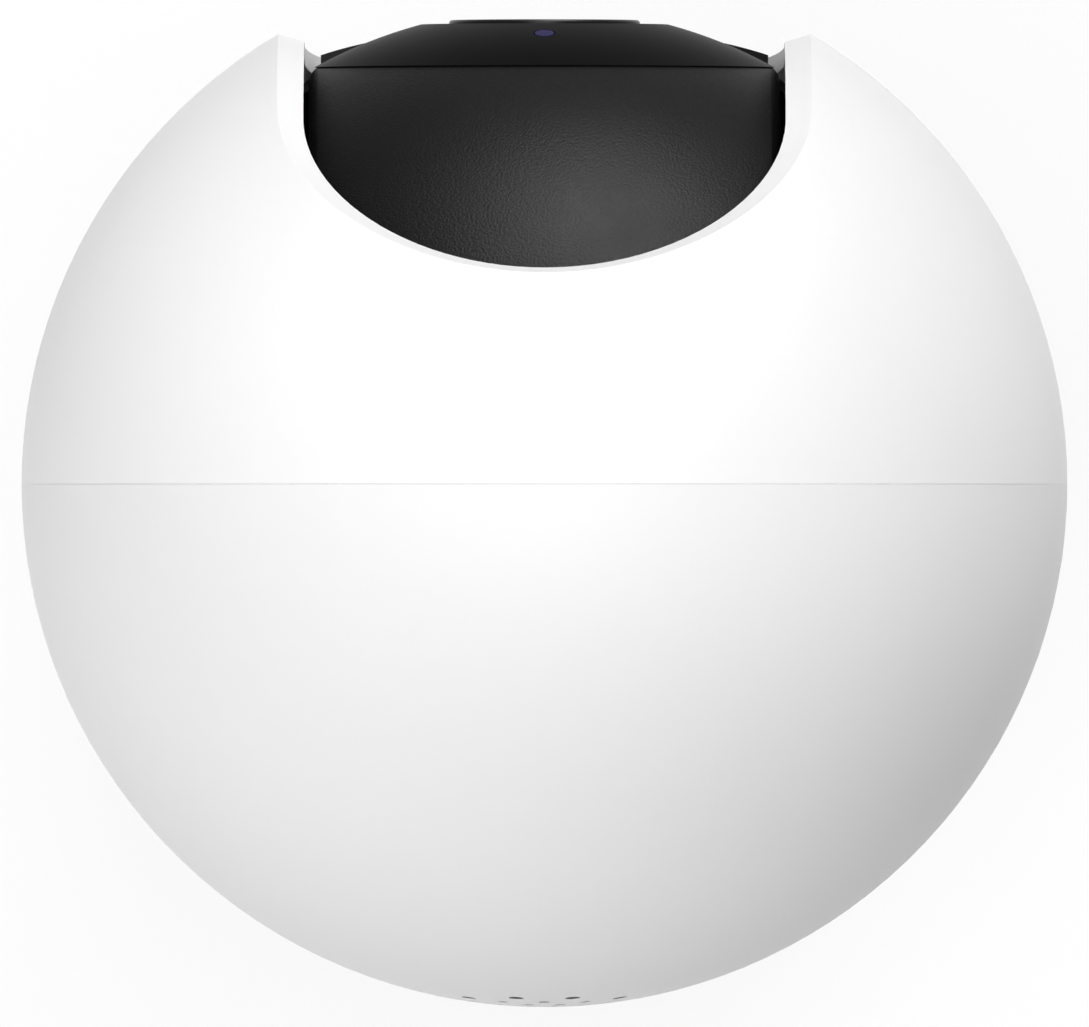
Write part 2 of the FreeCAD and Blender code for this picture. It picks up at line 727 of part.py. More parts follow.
# ---- eye ------------------------------------------------------------------------------------
def drum_slice(radius, half_width, edge_round):
    """Slice of a ball between two planes square to X, with rounded rims."""
    centre_x = half_width - edge_round
    centre_r = math.sqrt((radius - edge_round) ** 2 - centre_x ** 2)
    out = radius / (radius - edge_round)
    diagonal = edge_round * math.sqrt(0.5)
    blend = V(centre_x + diagonal, 0, centre_r + diagonal)
    right = [V(half_width, 0, centre_r), blend, V(centre_x * out, 0, centre_r * out)]
    left = [V(-p.x, 0, p.z) for p in reversed(right)]
    edges = [Part.makeLine(V(-half_width, 0, 0), V(half_width, 0, 0)),
             Part.makeLine(V(half_width, 0, 0), right[0]),
             Part.Arc(*right).toShape(),
             Part.Arc(right[2], V(0, 0, radius), left[0]).toShape(),
             Part.Arc(*left).toShape(),
             Part.makeLine(left[2], V(-half_width, 0, 0))]
    return Part.Face(Part.Wire(edges)).revolve(V(0, 0, 0), RIGHT, 360)


def cover_post_places():
    return [(x, z) for x in (-cover_post_x, cover_post_x) for z in (-cover_post_z, cover_post_z)]


def eye_drum():
    outer = drum_slice(drum_radius, drum_half_width, drum_edge_round)
    hollow = ball(drum_inner).common(box(-cheek_inner, cheek_inner, -FAR, FAR, -FAR, FAR))
    shell = outer.cut(hollow).common(box(-FAR, FAR, -bezel_seat, -drum_back, -FAR, FAR))
    lobe = rod(lobe_radius, arm_inner - end_play - cheek_inner, V(cheek_inner, 0, 0), RIGHT)
    within = ball(drum_inner + drum_wall / 2)
    posts = [rod(cover_post_radius, FAR, V(x, -back_cover_front, z), FRONT).common(within)
             for x, z in cover_post_places()]
    shell = joined([shell] + mirrored_pair(lobe) + posts)
    shell = shell.cut(rod(pin_radius + fit_gap, 2 * FAR, V(-FAR, 0, 0), RIGHT))
    return shell.cut([pilot(back_cover_screw_bite, V(x, -back_cover_front, z), FRONT)
                      for x, z in cover_post_places()])


def eye_back_cover():
    edge = cheek_inner - 2 * fit_gap
    plate = box(-edge, edge, -back_cover_front, -drum_back, -FAR, FAR).common(ball(drum_inner - 2 * fit_gap))
    recess = rod(pin_flange_radius + pin_flange_gap, FAR, V(edge - pin_flange, 0, 0), RIGHT)
    plate = plate.cut(mirrored_pair(recess))
    plate = plate.cut([clear_hole(FAR, V(x, 0, z), FRONT) for x, z in cover_post_places()])
    return plate.cut(rod(cable_hole_radius, FAR, V(0, 0, -cable_hole_drop), FRONT))


def eye_bezel():
    cap = ball(bezel_radius).common(box(-FAR, FAR, -bezel_face, -bezel_seat, -FAR, FAR))
    inside = ball(bezel_radius - bezel_wall).common(box(-FAR, FAR, -face_inside, 0, -FAR, FAR))
    within = ball(bezel_radius - bezel_wall / 2)
    top = face_inside + weld
    skirt = ring(skirt_outer, skirt_outer - skirt_wall, top - bezel_seat + skirt_depth, V(0, -top, 0), BACK)
    posts = [rod(camera_post_radius, top - camera_board_front, V(x, -camera_board_front, z), FRONT)
             for x, z in camera_posts()]
    cap = joined([cap.cut(inside), skirt.common(within)] + [post.common(within) for post in posts])
    holes = [rod(lens_ring_radius + fit_gap, FAR, V(0, -FAR, 0), BACK),
             rod(mic_hole_radius, FAR, V(0, -bezel_seat, -mic_height), FRONT),
             status_bar(status_light_radius + light_rim, FAR)]
    holes += [pilot(camera_screw_bite, V(x, -camera_board_front, z), FRONT) for x, z in camera_posts()]
    return cap.cut(holes)


def camera_posts():
    angles = [math.radians(45 + 90 * index) for index in range(4)]
    return [(camera_post_pitch * math.cos(a), camera_post_pitch * math.sin(a)) for a in angles]


def status_bar(radius, length):
    """Round bar square to the bezel's surface, where the status light is."""
    lift = math.asin(status_light_height / bezel_radius)
    out = V(0, -math.cos(lift), math.sin(lift))
    return rod(radius, length, out * (bezel_radius - status_light_length), out)


def status_light():
    """Light pipe: its tip ends on the bezel's surface and its collar sits behind the wall."""
    tip = status_bar(status_light_radius, FAR).common(ball(bezel_radius))
    behind = ball(bezel_radius - bezel_wall - fit_gap)
    collar = status_bar(status_light_radius + status_light_collar, FAR).common(behind)
    return joined([tip, collar])


def lens_ring():
    back = face_inside - lens_ring_flange
    flange = lens_ring_radius + lens_ring_reach
    ledge = window_radius - window_ledge
    seat = window_radius + fit_gap
    outline = [(ledge, back), (flange, back), (flange, face_inside), (lens_ring_radius, face_inside),
               (lens_ring_radius, lens_ring_front - lens_ring_edge),
               (lens_ring_radius - lens_ring_edge, lens_ring_front),
               (lens_ring_radius - lens_ring_lip, lens_ring_front),
               (seat, window_front), (seat, window_back), (ledge, window_back)]
    return spun(outline, FRONT)


def lens_window():
    return rod(window_radius, window_thickness, V(0, -window_back, 0), FRONT)


def camera_board():
    board = rod(camera_board_radius, board_thickness, V(0, board_thickness - camera_board_front, 0), FRONT)
    return board.cut([clear_hole(FAR, V(x, 0, z), FRONT) for x, z in camera_posts()])


def camera_lens_hole(radius, length):
    return rod(radius, length, V(0, camera_lens_seat - barrel_front, 0), FRONT)


def camera_barrel():
    half = holder_side / 2
    holder_front = camera_board_front + holder_height
    holder = box(-half, half, -holder_front, -camera_board_front, -half, half)
    holder = holder.makeFillet(holder_round, edges_along_y(holder))
    barrel_back = holder_front - weld
    barrel = rod(barrel_radius, barrel_front - barrel_back, V(0, -barrel_back, 0), FRONT)
    return joined([holder, barrel]).cut(camera_lens_hole(camera_lens_radius + fit_gap, FAR))


def camera_lens():
    rim = barrel_front - camera_lens_recess
    radius = (camera_lens_radius ** 2 + camera_lens_bulge ** 2) / (2 * camera_lens_bulge)
    dome = Part.makeSphere(radius, V(0, radius - rim - camera_lens_bulge, 0))
    return camera_lens_hole(camera_lens_radius, 2 * camera_lens_seat).common(dome)


def microphone():
    half = mic_side / 2
    front = camera_board_front + mic_thickness
    return box(-half, half, -front, -camera_board_front, -mic_height - half, -mic_height + half)


def tilt_pin():
    start = cheek_inner - pin_flange
    flange = rod(pin_flange_radius, pin_flange, V(start, 0, 0), RIGHT)
    shaft = rod(pin_radius, gear_face - start, V(start, 0, 0), RIGHT)
    end = rod(pin_end_radius, tilt_gear_width - 2 * end_play, V(gear_face, 0, 0), RIGHT)
    end = end.cut(box(gear_face, FAR, pin_flat, FAR, -FAR, FAR))
    return joined([flange, shaft, end]).cut(pilot(pivot_screw_bite, gear_outside(), -RIGHT))


def gear_outside():
    return V(gear_face + tilt_gear_width, 0, 0)


def flatted_bore():
    """Hole for the flatted end of the right tilt pin."""
    bore = rod(pin_end_radius + pilot_gap, FAR, V(arm_outer, 0, 0), RIGHT)
    return bore.cut(box(0, 2 * FAR, pin_flat + pilot_gap, FAR, -FAR, FAR))


def tilt_gear():
    gear = placed(spur_gear(tilt_gear_teeth, tilt_gear_width), V(gear_face, 0, 0), RIGHT, tilt_drive_line())
    return gear.cut(flatted_bore())


def tilt_collar():
    collar = rod(bush_flange_radius, tilt_gear_width, V(gear_face, 0, 0), RIGHT).cut(flatted_bore())
    return collar.mirror(V(0, 0, 0), RIGHT)


# ---- motor shafts and pinions ---------------------------------------------------------------
def tilt_drive_line():
    """From the tilt axis to the tilt motor's axis."""
    return V(0, tilt_motor_y / tilt_drive_reach, tilt_motor_z / tilt_drive_reach)


def pinion():
    """Pinion along +Z with the middle of a tooth gap along -X, its lower face at the origin."""
    gear = spur_gear(pinion_teeth, tilt_gear_width, 180.0 + 180.0 / pinion_teeth)
    return gear.cut(rod(motor_shaft_radius + pilot_gap, 3 * tilt_gear_width, V(0, 0, -tilt_gear_width)))


def tilt_pinion():
    return placed(pinion(), V(gear_face, tilt_motor_y, tilt_motor_z), RIGHT, tilt_drive_line())


def tilt_motor_shaft():
    start = arm_inner - motor_shaft_depth
    length = gear_face + tilt_gear_width - start
    return rod(motor_shaft_radius, length, V(start, tilt_motor_y, tilt_motor_z), RIGHT)


def pan_pinion():
    return placed(pinion(), V(0, -pan_drive_reach, pan_gear_bottom), UP, FRONT)


def pan_motor_shaft():
    length = pan_motor_bottom + motor_shaft_depth - pan_gear_bottom
    return rod(motor_shaft_radius, length, V(0, -pan_drive_reach, pan_gear_bottom))


# ---- loudspeaker ----------------------------------------------------------------------------
def with_ears(disc, start, thickness, opening):
    """Adds the two screw ears, and the strap that carries them, to a disc of the loudspeaker."""
    pitch, radius = speaker_ear_pitch, speaker_ear_radius
    ears = [rod(radius, thickness, V(x, start, 0), BACK) for x in (-pitch, pitch)]
    strap = box(-pitch, pitch, start, start + thickness, -radius, radius)
    strap = strap.cut(rod(opening, FAR, V(0, 0, 0), BACK))
    piece = joined([disc, strap] + ears)
    return piece.cut([clear_hole(FAR, V(x, 0, 0), BACK) for x in (-pitch, pitch)])


def speaker_gasket():
    disc = ring(speaker_radius, seat_inner, gasket_thickness, V(0, gasket_front, 0), BACK)
    return with_ears(disc, gasket_front, gasket_thickness, seat_inner)


def speaker_basket():
    rim = cone_radius + fit_gap
    ledge = gasket_front - cone_wall
    floor = basket_back + basket_wall
    hole = coil_radius + coil_hole_gap
    outline = [(speaker_radius, gasket_front), (speaker_radius, flange_front),
               (cone_radius + basket_wall, flange_front), (magnet_radius + basket_wall, floor),
               (magnet_radius, basket_back), (hole, basket_back), (hole, floor), (magnet_radius, floor),
               (cone_radius - basket_wall, ledge), (rim, ledge), (rim, gasket_front)]
    return with_ears(spun(outline, BACK), flange_front, flange_thickness, rim)


def speaker_cone():
    """Cone with its flat surround and its dust cap, in one pressing."""
    ledge = gasket_front - cone_wall
    neck = cone_back + 2 * cone_wall
    shoulder = cone_back + dome_shoulder
    top = cone_back + dome_height
    flat = cone_radius - surround_width
    outline = [(cone_radius, gasket_front), (cone_radius, ledge), (flat, ledge),
               (coil_radius, cone_back), (coil_radius, neck), (dome_radius, shoulder), (0, top),
               (0, top + cone_wall), (dome_radius + cone_wall, shoulder + cone_wall),
               (coil_radius + cone_wall, neck + cone_wall), (flat - cone_wall, gasket_front)]
    return spun(outline, BACK)


def voice_coil():
    bottom = basket_back - coil_depth
    return ring(coil_radius, coil_radius - cone_wall, cone_back - bottom, V(0, bottom, 0), BACK)


def speaker_magnet():
    bottom = basket_back - magnet_thickness
    groove = basket_back - coil_depth - 2 * coil_gap
    outside = coil_radius + coil_gap
    inside = coil_radius - cone_wall - coil_gap
    outline = [(0, bottom), (magnet_radius, bottom), (magnet_radius, basket_back), (outside, basket_back),
               (outside, groove), (inside, groove), (inside, basket_back), (0, basket_back)]
    return spun(outline, BACK)


# ---- main board -----------------------------------------------------------------------------
def main_board():
    board = box(main_board_left, main_board_right, board_wall_back, main_board_back,
                main_board_bridge_gap - bridge_top, main_board_top)
    board = board.makeFillet(board_round, edges_along_y(board))
    return board.cut([clear_hole(FAR, V(x, 0, main_board_screw_z), BACK) for x in main_board_screw_places()])


def processor_shield():
    half = shield_side / 2
    can = box(main_board_middle - half, main_board_middle + half, main_board_back,
              main_board_back + shield_height, shield_bottom, shield_bottom + shield_side)
    lid = [edge for edge in can.Edges if edge.CenterOfMass.y > main_board_back + shield_height / 4]
    return can.makeFillet(shield_round, lid)


def board_connectors():
    sockets = []
    half = connector_width / 2
    top = connector_bottom + connector_height
    for index in (-1, 0, 1):
        x = main_board_middle + index * connector_pitch
        socket = box(x - half, x + half, main_board_back, main_board_back + connector_depth,
                     connector_bottom, top)
        wall = connector_wall
        pocket = box(x - half + wall, x + half - wall, main_board_back + wall, FAR,
                     connector_bottom + wall, top - wall)
        sockets.append(socket.cut(pocket))
    return group(sockets)


def aerial():
    strip = box(-arm_outer - aerial_thickness, -arm_outer, -aerial_length / 2, aerial_length / 2,
                bush_flange_radius + aerial_gap, arm_radius - aerial_top)
    return strip.common(rod(arm_radius - aerial_inset, 2 * FAR, V(-FAR, 0, 0), RIGHT))


# ---- base -----------------------------------------------------------------------------------
def base_outline(inset, bottom):
    """Solid bounded by the outside of the base, moved in by inset."""
    foot = V(base_radius - inset, 0, cover_top + base_skirt)
    bulge = V(base_radius - inset - base_bulge_drop, 0, (foot.z + rim_height) / 2)
    top = V(rim_radius + rim_land - inset, 0, rim_height)
    edges = [Part.makeLine(V(0, 0, bottom), V(foot.x, 0, bottom)),
             Part.makeLine(V(foot.x, 0, bottom), foot),
             Part.Arc(foot, bulge, top).toShape(),
             Part.makeLine(top, V(0, 0, rim_height)),
             Part.makeLine(V(0, 0, rim_height), V(0, 0, bottom))]
    return Part.Face(Part.Wire(edges)).revolve(V(0, 0, 0), UP, 360)


def cover_posts():
    angle = math.radians(cover_post_angle)
    reach_x = cover_post_pitch * math.cos(angle)
    reach_y = cover_post_pitch * math.sin(angle)
    return [(x, y) for x in (-reach_x, reach_x) for y in (-reach_y, reach_y)]


def pan_ears():
    return [(x, -pan_drive_reach) for x in (-motor_ear_pitch, motor_ear_pitch)]


def power_posts():
    return [(x, power_post_y) for x in (-power_post_x, power_post_x)]


def base_housing():
    body = base_outline(0.0, cover_bottom)
    bottom_rim = [edge for edge in edges_at(body, cover_bottom) if edge.Length > base_radius]
    body = body.makeFillet(base_edge, bottom_rim)
    middle = V(0, 0, centre_height)
    dish = Part.makeSphere(dish_radius, middle).cut(rod(pan_boss_radius, boss_top, V(0, 0, 0)))
    cavity = base_outline(base_wall, 0.0).cut(Part.makeSphere(dish_under, middle))
    cavity = cavity.cut(rod(pan_boss_radius, FAR, V(0, 0, bush_bottom)))
    cavity = cavity.cut([rod(base_post_radius, FAR, V(x, y, cover_top)) for x, y in cover_posts()])
    cavity = cavity.cut([rod(motor_ear_radius, FAR, V(x, y, pan_ear_top)) for x, y in pan_ears()])
    body = body.cut(dish).cut(cavity)
    holes = [rod(pan_bush_radius + pilot_gap, FAR, V(0, 0, 0)),
             rod(pan_boss_radius, FAR, V(0, 0, boss_top)),
             socket_block(socket_gap, base_radius - 3 * base_wall, FAR),
             button_place(rod(button_radius + button_gap, FAR, V(0, 0, 0), BACK))]
    holes += [pilot(cover_screw_bite, V(x, y, cover_top), UP) for x, y in cover_posts()]
    holes += [pilot(motor_screw_bite, V(x, y, pan_ear_top), UP) for x, y in pan_ears()]
    return body.cut(holes)


def socket_block(grow, start, end):
    """Rounded bar along Y with the power socket's outline, grown by a gap or shrunk by a wall."""
    half = socket_width / 2 + grow
    low = power_board_top - grow
    high = power_board_top + socket_height + grow
    bar = box(-half, half, start, end, low, high)
    return bar.makeFillet((high - low) * 0.45, edges_along_y(bar))


def power_socket():
    mouth = socket_block(-socket_wall, socket_back + socket_back_wall, FAR)
    shell = socket_block(0.0, socket_back, socket_mouth).cut(mouth)
    half = socket_width / 2 - socket_wall - tongue_side
    low = power_board_top + (socket_height - tongue_thickness) / 2
    tongue = box(-half, half, socket_back + socket_back_wall / 2, socket_mouth - tongue_recess,
                 low, low + tongue_thickness)
    return joined([shell, tongue])


def base_cover():
    plate = rod(base_radius - base_wall - 2 * fit_gap, cover_wall, V(0, 0, cover_bottom))
    posts = [rod(power_post_radius, power_board_lift + weld, V(x, y, cover_top - weld))
             for x, y in power_posts()]
    plate = joined([plate] + posts)
    holes = [rod(foot_radius + fit_gap, foot_recess, V(0, 0, cover_bottom))]
    holes += [clear_hole(FAR, V(x, y, 0), UP) for x, y in cover_posts()]
    holes += [head_hole(cover_screw_seat - foot_thickness, V(x, y, foot_thickness), UP)
              for x, y in cover_posts()]
    holes += [pilot(power_screw_bite, V(x, y, power_board_bottom), -UP) for x, y in power_posts()]
    return plate.cut(holes)


def foot_pad():
    pad = rod(foot_radius, foot_thickness, V(0, 0, 0))
    return pad.makeFillet(foot_edge, edges_at(pad, 0.0))


def ballast_plate():
    return ring(ballast_outer, ballast_inner, ballast_thickness, V(0, 0, cover_top))


def pan_bush():
    bore = spindle_radius + running_gap
    sleeve = ring(pan_bush_radius, bore, boss_top - bush_bottom, V(0, 0, bush_bottom))
    flange = ring(pan_boss_radius - pan_boss_edge, bore, pan_bush_flange, V(0, 0, boss_top))
    return joined([sleeve, flange])


def power_board():
    half = base_radius - power_board_side
    board = box(-half, half, base_radius - power_board_depth, FAR, power_board_bottom, power_board_top)
    board = board.common(rod(base_radius - base_wall - power_board_gap, FAR, V(0, 0, 0)))
    return board.cut([clear_hole(FAR, V(x, y, 0), UP) for x, y in power_posts()])


def button_place(shape):
    return turned(moved(shape, z=button_height), button_angle)


def setup_button():
    face = base_radius + button_proud - wall_taper
    stem = rod(button_radius, face - button_back, V(0, button_back, 0), BACK)
    rim = [edge for edge in stem.Edges if abs(edge.CenterOfMass.y - face) < TINY]
    stem = stem.makeFillet(button_edge, rim)
    flange = rod(button_radius + button_flange, button_flange, V(0, button_back, 0), BACK)
    return button_place(joined([stem, flange]))


def setup_switch():
    tip = button_back - button_travel - end_play
    body_front = tip - plunger_proud
    half = switch_side / 2
    body = box(-half, half, body_front - switch_depth, body_front,
               power_board_top - button_height, half + switch_head_gap)
    plunger = rod(plunger_radius, 1.5 * plunger_proud, V(0, tip - 1.5 * plunger_proud, 0), BACK)
    return button_place(joined([body, plunger]))


# ---- screws ---------------------------------------------------------------------------------
def head_screws():
    return {
        "shell_screws": [screw(shell_screw_seat + shell_screw_bite - screw_spare,
                               at + V(0, shell_screw_seat, 0), FRONT) for at in shell_screw_places()],
        "chassis_screws": [screw(bridge_wall + block_screw_bite - screw_spare, at, -UP)
                           for at in block_screw_places()],
        "tilt_motor_screws": [screw(motor_ear_wall + arm_wall - screw_spare,
                                    V(arm_inner - motor_ear_wall, ear.y, ear.z), RIGHT)
                              for ear in tilt_motor_ears()],
        "main_board_screws": [screw(board_thickness + board_wall, V(x, main_board_back, main_board_screw_z),
                                    FRONT) for x in main_board_screw_places()],
        "speaker_screws": [screw(flange_thickness + gasket_thickness + speaker_screw_bite - screw_spare,
                                 V(x, flange_front, 0), BACK)
                           for x in (-speaker_ear_pitch, speaker_ear_pitch)],
    }


def eye_screws():
    return {
        "camera_board_screws": [screw(board_thickness + camera_screw_bite - screw_spare,
                                      V(x, board_thickness - camera_board_front, z), FRONT)
                                for x, z in camera_posts()],
        "back_cover_screws": [screw(back_cover_wall + back_cover_screw_bite - screw_spare,
                                    V(x, -drum_back, z), FRONT) for x, z in cover_post_places()],
        "pivot_screws": mirrored_pair(screw(pivot_screw_bite - screw_spare, gear_outside(), -RIGHT)),
    }


def base_screws():
    return {
        "base_cover_screws": [screw(cover_top - cover_screw_seat + cover_screw_bite - screw_spare,
                                    V(x, y, cover_screw_seat), UP) for x, y in cover_posts()],
        "pan_motor_screws": [screw(motor_ear_wall + motor_screw_bite - screw_spare,
                                   V(x, y, pan_motor_bottom), UP) for x, y in pan_ears()],
        "power_board_screws": [screw(board_thickness + power_screw_bite - screw_spare,
                                     V(x, y, power_board_top), -UP) for x, y in power_posts()],
    }


# ---- write every piece ----------------------------------------------------------------------
HEAD_AND_EYE = (front_shell, rear_shell, slot_liner, head_base, retaining_ring, chassis, main_board,
                processor_shield, board_connectors, aerial, speaker_gasket, speaker_basket, speaker_cone,
                voice_coil, speaker_magnet, eye_drum, eye_back_cover, eye_bezel, lens_ring, lens_window,
                camera_board, camera_barrel, camera_lens, microphone, status_light, tilt_gear, tilt_collar,
                tilt_pinion, tilt_motor_shaft)
BASE = (base_housing, base_cover, foot_pad, ballast_plate, pan_bush, power_board, power_socket,
        setup_switch, setup_button, pan_gear, pan_key, pan_pinion, pan_motor_shaft)


def main():
    os.makedirs("parts", exist_ok=True)
    for piece in HEAD_AND_EYE:
        write(piece.__name__, piece(), centre_height)
    write("tilt_bushes", group(mirrored_pair(tilt_bush())), centre_height)
    write("tilt_pins", group(mirrored_pair(tilt_pin())), centre_height)
    write("tilt_motor", tilt_motor_place(motor_can(arm_wall)), centre_height)
    for name, screws in {**head_screws(), **eye_screws()}.items():
        write(name, group(screws), centre_height)
    for piece in BASE:
        write(piece.__name__, piece())
    write("pan_motor", pan_motor_place(motor_can(pan_nose)))
    for name, screws in base_screws().items():
        write(name, group(screws))


main()
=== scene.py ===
import json
import math

import bmesh
import bpy
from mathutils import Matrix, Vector


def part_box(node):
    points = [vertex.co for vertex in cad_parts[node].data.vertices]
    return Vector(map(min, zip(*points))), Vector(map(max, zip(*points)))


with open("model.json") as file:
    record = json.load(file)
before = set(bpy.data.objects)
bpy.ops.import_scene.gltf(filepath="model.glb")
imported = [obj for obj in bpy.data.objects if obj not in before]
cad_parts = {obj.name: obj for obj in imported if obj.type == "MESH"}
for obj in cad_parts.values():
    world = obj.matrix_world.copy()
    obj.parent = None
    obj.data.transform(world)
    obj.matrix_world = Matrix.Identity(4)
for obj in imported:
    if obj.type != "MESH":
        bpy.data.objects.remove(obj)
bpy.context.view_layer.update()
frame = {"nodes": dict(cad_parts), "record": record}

scene = bpy.context.scene
record = frame["record"]
nodes = frame["nodes"]
MM = 0.001

# ---- places read from the frame -------------------------------------------------------------
shell_low, shell_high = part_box("front_shell")
ball_radius = (shell_high.x - shell_low.x) / 2
tilt_axis_z = shell_high.z - ball_radius
centre = Vector((0, 0, tilt_axis_z))
skin_tolerance = 0.06 * MM          # the ball's facets lie no more than this below its true surface
grille_front = 0.9 * ball_radius    # the speaker holes lie behind this


# ---- node helpers ---------------------------------------------------------------------------
class Paint:
    """A material with its Principled shader, and short ways to add and link nodes."""

    def __init__(self, name):
        self.material = bpy.data.materials.new(name)
        self.material.use_nodes = True
        self.tree = self.material.node_tree
        self.shader = self.tree.nodes["Principled BSDF"]
        place = self.tree.nodes.new("ShaderNodeTexCoord")
        self.place = place.outputs["Object"]

    def add(self, kind, **settings):
        node = self.tree.nodes.new(kind)
        for key, value in settings.items():
            setattr(node, key, value)
        return node

    def link(self, source, target):
        self.tree.links.new(source, target)

    def noise(self, scale, detail=3.0, roughness=0.55, source=None):
        node = self.add("ShaderNodeTexNoise")
        node.inputs["Scale"].default_value = scale
        node.inputs["Detail"].default_value = detail
        node.inputs["Roughness"].default_value = roughness
        self.link(source or self.place, node.inputs["Vector"])
        return node.outputs["Fac"]

    def cells(self, scale, feature="F1"):
        node = self.add("ShaderNodeTexVoronoi", feature=feature)
        node.inputs["Scale"].default_value = scale
        self.link(self.place, node.inputs["Vector"])
        return node.outputs["Distance"]

    def math(self, operation, first, second):
        node = self.add("ShaderNodeMath", operation=operation)
        for socket, value in zip(node.inputs, (first, second)):
            if isinstance(value, (int, float)):
                socket.default_value = value
            else:
                self.link(value, socket)
        return node.outputs["Value"]

    def weighed(self, first, first_weight, second, second_weight):
        """The sum of two values, each times its weight."""
        return self.math("ADD", self.math("MULTIPLY", first, first_weight),
                         self.math("MULTIPLY", second, second_weight))

    def spread(self, value, low, high):
        """Maps 0..1 to low..high."""
        node = self.add("ShaderNodeMapRange")
        self.link(value, node.inputs["Value"])
        node.inputs["To Min"].default_value = low
        node.inputs["To Max"].default_value = high
        return node.outputs["Result"]

    def tones(self, value, dark, light, start=0.3, end=0.7):
        """A colour between dark, where the value is start or less, and light, where it is end or more."""
        ramp = self.add("ShaderNodeValToRGB")
        ramp.color_ramp.elements[0].position = start
        ramp.color_ramp.elements[1].position = end
        ramp.color_ramp.elements[0].color = (*dark, 1)
        ramp.color_ramp.elements[1].color = (*light, 1)
        self.link(value, ramp.inputs["Fac"])
        return ramp.outputs["Color"]

    def blend(self, factor, first, second):
        """A colour from the socket first towards the colour second."""
        node = self.add("ShaderNodeMix", data_type="RGBA")
        colour_a, colour_b = node.inputs[6:8]
        self.link(factor, node.inputs["Factor"])
        self.link(first, colour_a)
        colour_b.default_value = (*second, 1)
        return node.outputs[2]

    def bump(self, height, depth, strength=1.0):
        node = self.add("ShaderNodeBump")
        node.inputs["Distance"].default_value = depth
        node.inputs["Strength"].default_value = strength
        self.link(height, node.inputs["Height"])
        return node.outputs["Normal"]

    def paint_shade_in_holes(self, colour, shade_tint):
        """Painted shade on the walls of the holes round the ball's rear pole: the shade colour there, where
        shade falls in the holes, else the other colour.
        """
        from_centre = self.add("ShaderNodeVectorMath", operation="SUBTRACT")
        self.link(self.place, from_centre.inputs[0])
        from_centre.inputs[1].default_value = centre
        distance = self.add("ShaderNodeVectorMath", operation="LENGTH")
        self.link(from_centre.outputs["Vector"], distance.inputs[0])
        split = self.add("ShaderNodeSeparateXYZ")
        self.link(self.place, split.inputs["Vector"])
        # painted shade: masks the hole walls, below the ball's skin and behind the grille's front
        below_skin = self.math("LESS_THAN", distance.outputs["Value"], ball_radius - skin_tolerance)
        at_rear = self.math("GREATER_THAN", split.outputs["Y"], grille_front)
        return self.blend(self.math("MULTIPLY", below_skin, at_rear), colour, shade_tint)

    def finish(self, colour=None, roughness=None, normal=None, metallic=0.0, **values):
        if colour is not None:
            self.link(colour, self.shader.inputs["Base Color"])
        if roughness is not None:
            self.link(roughness, self.shader.inputs["Roughness"])
        if normal is not None:
            self.link(normal, self.shader.inputs["Normal"])
        self.shader.inputs["Metallic"].default_value = metallic
        for key, value in values.items():
            self.shader.inputs[key.replace("_", " ")].default_value = value
        return self.material


def scaled(colour, factor):
    """A lighter or darker colour."""
    return tuple(min(1.0, channel * factor) for channel in colour)


def plastic(name, colour, roughness, grain=9000.0, depth=0.004 * MM, tone=0.02, hole_wall_shade=None, **values):
    """Moulded plastic: a fine spark texture, a slight drift of tone and of gloss."""
    paint = Paint(name)
    drift = paint.noise(60.0, 4.0)
    fine = paint.noise(grain, 2.0)
    mixed = paint.weighed(drift, 0.7, fine, 0.3)
    tinted = paint.tones(mixed, scaled(colour, 1 - tone), scaled(colour, 1 + tone))
    # painted shade: darkens the walls of the speaker holes, where shade falls in them
    if hole_wall_shade is not None:
        tinted = paint.paint_shade_in_holes(tinted, hole_wall_shade)
    rough = paint.spread(mixed, roughness - 0.05, roughness + 0.05)
    return paint.finish(tinted, rough, paint.bump(fine, depth), **values)


def leather_grain(name, colour, roughness):
    """Moulded leather-like grain: pebbles with creases between them and a finer texture on top; the creases are
    painted darker as shade, and the finer texture gives a random tone.
    """
    paint = Paint(name)
    pebbles = paint.cells(5200.0, "SMOOTH_F1")
    creases = paint.cells(5200.0, "DISTANCE_TO_EDGE")
    fine = paint.noise(12000.0, 3.0, 0.6)
    low = paint.noise(120.0, 3.0)
    height = paint.weighed(pebbles, -0.6, fine, 0.5)
    # painted shade in the creases between the pebbles, with a random tone from the finer texture
    tinted = paint.tones(paint.math("ADD", creases, paint.math("MULTIPLY", fine, 0.4)),
                         scaled(colour, 0.75), scaled(colour, 1.2), 0.1, 0.7)
    rough = paint.spread(paint.weighed(low, 0.4, fine, 0.6), roughness - 0.22, roughness + 0.2)
    return paint.finish(tinted, rough, paint.bump(height, 0.06 * MM, 0.7), Specular_IOR_Level=0.035)


def metal(name, colour, roughness, brushed=0.0):
    """Plated or turned metal with fine tool marks and faint stains."""
    paint = Paint(name)
    stretch = paint.add("ShaderNodeMapping")
    stretch.inputs["Scale"].default_value = (1.0, 1.0 - 0.9 * brushed, 1.0 - 0.9 * brushed)
    paint.link(paint.place, stretch.inputs["Vector"])
    marks = paint.noise(6000.0, 3.0, 0.6, stretch.outputs["Vector"])
    stains = paint.noise(220.0, 4.0)
    tinted = paint.tones(stains, scaled(colour, 0.86), scaled(colour, 1.06))
    rough = paint.spread(paint.weighed(marks, 0.5, stains, 0.5), roughness - 0.1, roughness + 0.12)
    return paint.finish(tinted, rough, paint.bump(marks, 0.004 * MM), metallic=1.0)


